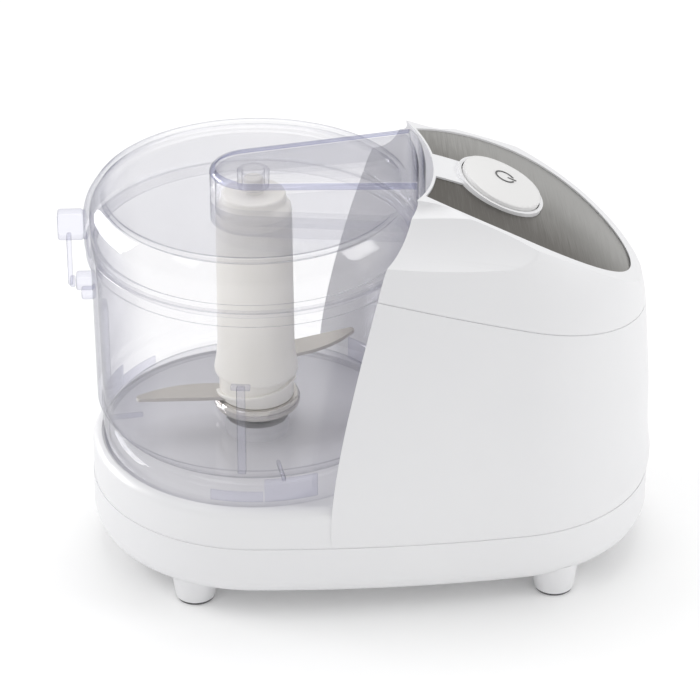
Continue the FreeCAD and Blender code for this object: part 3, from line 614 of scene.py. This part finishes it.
LID_PROFILE = (
    (53.0, 115.8, 0.4), (54.3, 115.8, 0.4), (54.3, 118.9, 0), (57.4, 118.9, 0.4),
    (57.3, 130.2, 3.0), (52.9, 136.7, 1.8), (51.0, 136.7, 0.9), (48.8, 134.8, 1.6), (0, 134.8, 0),
    (0, 132.8, 0), (49.4, 132.8, 1.2), (51.4, 134.9, 0.8), (52.1, 134.9, 0.6), (55.3, 129.9, 2.4),
    (55.3, 121.2, 0.5), (53.0, 120.2, 0.5))
lid = finish_piece(turned(LID_PROFILE), "lid_shell", "lid", lid_clear)
outside = arm_block(0.0, ARM_FLOOR, ARM_TOP_AT_HUB, ARM_TOP_AT_RIM, RIM_X)
combine(lid, outside, "UNION")
hollow = arm_block(ARM_WALL, HOLLOW_FLOOR, ARM_TOP_AT_HUB - ARM_WALL, ARM_TOP_AT_RIM - ARM_WALL,
                   HOLLOW_X)
combine(lid, hollow, "DIFFERENCE")
shade(lid, 32)
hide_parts("lid")
print("lid faces:", len(lid.data.polygons))

# %% [markdown]
# ## The arm's top edge
#
# The rounded top edge of the arm is the thickest plastic on the lid, and it shows as a dark violet
# line. Part of that line is the tint of the thicker plastic, and part is the dark that refraction
# gives a rounded edge. The clear shader can't know how thick a wall is and doesn't bend light, so
# the edge gets a darker finish that paints this shade on. Painting it onto faces of the lid would
# leave a ragged border where the Boolean cut them. So the same block is made again, and all but its
# rounded top edge is deleted, which leaves a thin strip.

# %% The arm's thick top edge
EDGE_FACES_UP = (0.12, 0.985)
EDGE_LOW, EDGE_REACH, EDGE_WALL = 140.0, 53.0, 0.5


def arm_rim():
    """Only the rounded top edge of the arm, as a strip with a little thickness."""
    bm = arm_block(0.0, ARM_FLOOR, ARM_TOP_AT_HUB, ARM_TOP_AT_RIM, RIM_X)
    upright, level = EDGE_FACES_UP
    rest = [face for face in bm.faces if abs(face.normal.z) < upright or face.normal.z > level
            or face.calc_center_median().z < EDGE_LOW * MM
            or face.calc_center_median().x > BOWL_X + EDGE_REACH * MM]
    bmesh.ops.delete(bm, geom=rest, context="FACES")
    bmesh.ops.solidify(bm, geom=bm.faces[:], thickness=EDGE_WALL * MM)
    bmesh.ops.recalc_face_normals(bm, faces=bm.faces)
    return bm


# The edge strip takes the darker rim finish, which holds painted shade.
rim = finish_piece(arm_rim(), "lid_arm_rim", "lid", rim_tint_and_painted_shade)
shade(rim, 40)
print("rim faces:", len(rim.data.polygons))

# %% [markdown]
# ## Socket, tab and hook
#
# A small socket under the arm holds the top of the blade's column. At the far side the lid has a
# block-shaped tab, and a thin hook hangs from it down to the bowl's catch. The socket is turned and
# the rest are rounded blocks. They stay separate meshes: a Boolean could join them to the shell,
# but the joints would look the same.

# %% Socket, tab and hook
SOCKET_PROFILE = ((3.9, 136.4, 0.3), (5.3, 136.4, 0.4), (5.5, 142.6, 0.3), (3.9, 142.6, 0))
socket = finish_piece(turned(SOCKET_PROFILE), "lid_socket", "lid", lid_clear)
shade(socket, 40)
bm = bmesh.new()
rounded_block(bm, (-66.0, -2.9, 118.6), (-57.2, 2.9, 128.4), 1.0)
rounded_block(bm, (-63.2, -2.4, 101.5), (-61.6, 2.4, 119.4), 0.5)
rounded_block(bm, (-62.6, -2.4, 100.6), (-60.9, 2.4, 103.0), 0.5)
bmesh.ops.translate(bm, vec=(BOWL_X, 0, 0), verts=bm.verts)
tab = finish_piece(bm, "lid_tab", "lid", bit_clear)
shade(tab, 40)

# %% [markdown]
# ## The blade's column
#
# The column is a long milky sleeve that drops over the spindle. A thin pin at its top sits in the
# lid's socket. The foot spreads to a bell, with a narrower collar under it and a ramp that climbs
# round the collar. The sleeve and the polished ring below it are turned. The ramp is a strip that
# rises as it is spun, which a Boolean of two cylinders could not give.

# %% The column, with the ramp at its foot
COLUMN_PROFILE = (
    (10.6, 56.9, 0.2), (12.9, 56.9, 0.3), (12.9, 66.0, 0.2), (14.2, 66.0, 0.4), (14.6, 67.2, 0.5),
    (13.3, 74.0, 4.0), (12.9, 126.0, 2.0), (12.6, 129.5, 0.9), (11.0, 131.5, 0.6),
    (10.8, 134.4, 0.8), (3.3, 134.4, 0.3), (3.3, 140.0, 0.8), (0, 140.0, 0), (0, 98.0, 0),
    (10.6, 98.0, 0.3))
column = finish_piece(turned(COLUMN_PROFILE, 128),
                      "column_body", "blade", column_white)
shade(column, 35)
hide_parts("blade_column")

RAMP_PROFILE = ((12.6, 57.6, 0), (14.1, 57.6, 0.3), (14.1, 59.0, 0.3), (12.6, 59.0, 0))
RAMP_RISE = 6.4
ramp = finish_piece(arc_strip(RAMP_PROFILE, -175, -15, 40, RAMP_RISE),
                    "column_ramp", "blade", column_white)
shade(ramp, 35)
print("column faces:", len(column.data.polygons), " ramp faces:", len(ramp.data.polygons))

# %% The steel ring at the blade's foot
RING_PROFILE = (
    (11.0, 52.7, 0), (14.4, 52.7, 0.8), (15.0, 54.0, 0.4), (15.0, 56.0, 0.8), (14.2, 56.8, 0.2),
    (11.0, 56.8, 0))
ring = finish_piece(turned(RING_PROFILE), "steel_ring", "blade", ring_steel)
shade(ring, 40)
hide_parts("steel_collar")

# %% [markdown]
# ## The button's sign
#
# A push button like this one carries a printed sign, here a plain ring and a bar for power. A
# print is a film of ink, so the sign is one thin turned ring and one thin block. Both are made flat
# at the origin, then tilted with the roof's slope and moved onto the button's crown. They ride on
# the button, so they go down with it.

# %% Ring and bar on the button's crown
ROOF_CENTRE, ROOF_RADIUS = Vector((4.2, 0, -39.0)), 190.0
BUTTON_REACH, BUTTON_RISE = 82.6, 4.4
ROOF_SLOPE = math.asin((BUTTON_REACH - ROOF_CENTRE.x) / ROOF_RADIUS)


def above_roof(lift):
    """The point on the button's axis at a height in millimetres above the roof."""
    upwards = Vector((math.sin(ROOF_SLOPE), 0, math.cos(ROOF_SLOPE)))
    return (ROOF_CENTRE + upwards * (ROOF_RADIUS + lift)) * MM + Vector((BOWL_X, 0, 0))


INK_DEPTH = 0.12
ink_grey = mottled("ink_grey", (0.10, 0.10, 0.10), (0.14, 0.14, 0.14),
                   (0.5, 0.65), 300.0, 0.00002)
bm = turned(((3.0, 0.0, 0), (3.6, 0.0, 0), (3.6, INK_DEPTH, 0), (3.0, INK_DEPTH, 0)), 96)
bmesh.ops.translate(bm, vec=(-BOWL_X, 0, 0), verts=bm.verts)
gap = [vert for vert in bm.verts if vert.co.x > 2.0 * MM and abs(vert.co.y) < 1.1 * MM]
bmesh.ops.delete(bm, geom=gap, context="VERTS")
bmesh.ops.holes_fill(bm, edges=bm.edges, sides=0)
rounded_block(bm, (1.0, -0.3, 0.0), (4.2, 0.3, INK_DEPTH), 0.05)
bmesh.ops.rotate(bm, verts=bm.verts, cent=(0, 0, 0), matrix=Matrix.Rotation(ROOF_SLOPE, 3, "Y"))
bmesh.ops.translate(bm, vec=above_roof(BUTTON_RISE), verts=bm.verts)
bmesh.ops.recalc_face_normals(bm, faces=bm.faces)
sign = finish_piece(bm, "button_sign", "button", ink_grey)
shade(sign, 30)

# %% [markdown]
# ## The button's spring
#
# A compression spring shortens when the button goes down: its foot stays on the shelf, and its top
# follows the button. Here the coil is a merged copy of the CAD spring, shaded smooth. It is not
# tied to either body, so it keeps its shape and place.

# %% A smooth copy of the spring's coil
bm = bmesh.new()
bm.from_mesh(nodes["button_spring"].data)
bmesh.ops.remove_doubles(bm, verts=bm.verts, dist=0.002 * MM)
coil_mesh = bpy.data.meshes.new("spring_coil")
bm.to_mesh(coil_mesh)
bm.free()
coil = bpy.data.objects.new("spring_coil", coil_mesh)
bpy.context.scene.collection.objects.link(coil)
coil_mesh.materials.append(steel_plain)
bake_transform(coil)
shade(coil, 50)
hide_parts("button_spring")

# %% [markdown]
# ## The floor
#
# The floor is plain and nearly white, and runs far back so that no horizon shows. A white sheet
# never comes out quite white under soft light, so the floor also glows a little. Making the lights
# stronger would do the same, but it would bleach the white shells first.

# %% Lay the floor
FLOOR_SIZE, FLOOR_GLOW = 6.0, 0.07


def pale_floor():
    bm = bmesh.new()
    bmesh.ops.create_grid(bm, x_segments=8, y_segments=8, size=FLOOR_SIZE)
    mesh = bpy.data.meshes.new("floor")
    bm.to_mesh(mesh)
    bm.free()
    floor = bpy.data.objects.new("floor", mesh)
    bpy.context.scene.collection.objects.link(floor)
    material, tree, shader = new_material("floor_white", Roughness=0.9)
    tint(tree, noise(tree, 2.0), (0.93, 0.93, 0.93), (0.95, 0.95, 0.95),
         shader.inputs["Base Color"])
    shader.inputs["Specular IOR Level"].default_value = 0.1
    shader.inputs["Emission Color"].default_value = (1.0, 1.0, 1.0, 1.0)
    shader.inputs["Emission Strength"].default_value = FLOOR_GLOW
    mesh.materials.append(material)
    return floor


floor = pale_floor()
print("floor:", tuple(round(size, 1) for size in floor.dimensions), "m")

# %% [markdown]
# ## The lights
#
# An even white sky gives most of the light, and soft boxes add direction. The window is a large low
# box behind on the left. It gives the broad highlight on the clear lid, and as it shows only in
# reflections it doesn't light the shells. The side box is the opposite: it lights the wall of the
# bay and leaves no highlight. The key is weak, the fill lifts the right side, and the top box
# brightens the roof. One plain lamp would light the white shells as well, but leave the lid empty.

# %% Set the lights
def soft_box(name, location, size, power):
    """A rectangular area light that points at the middle of the chopper."""
    data = bpy.data.lights.new(name, "AREA")
    data.shape = "RECTANGLE"
    data.size, data.size_y = size
    data.energy = power
    lamp = bpy.data.objects.new(name, data)
    lamp.location = location
    lamp.rotation_euler = (CENTRE - Vector(location)).to_track_quat("-Z", "Y").to_euler()
    bpy.context.scene.collection.objects.link(lamp)
    return lamp


CENTRE = Vector((0.0, 0.0, 0.07))
window = soft_box("window", (-0.98, 0.42, 0.38), (0.8, 0.5), 11.0)
window.visible_diffuse = False
side = soft_box("side", (-1.0, 0.15, 0.75), (0.6, 0.6), 3.4)
side.visible_glossy = False
soft_box("key", (-0.75, -0.55, 0.95), (0.35, 0.45), 0.5)
soft_box("fill", (1.15, -0.25, 0.7), (0.5, 0.5), 3.0)
soft_box("top", (0.1, 0.45, 1.3), (0.9, 0.7), 4.0)

SKY_STRENGTH = 0.70
world = bpy.data.worlds.new("studio")
world.use_nodes = True
sky = world.node_tree.nodes["Background"]
sky.inputs["Color"].default_value = (1.0, 1.0, 1.0, 1.0)
sky.inputs["Strength"].default_value = SKY_STRENGTH
bpy.context.scene.world = world
bpy.context.scene.view_settings.view_transform = "Standard"
bpy.context.scene.cycles.transparent_max_bounces = 32
print("lights:", len(bpy.data.lights))
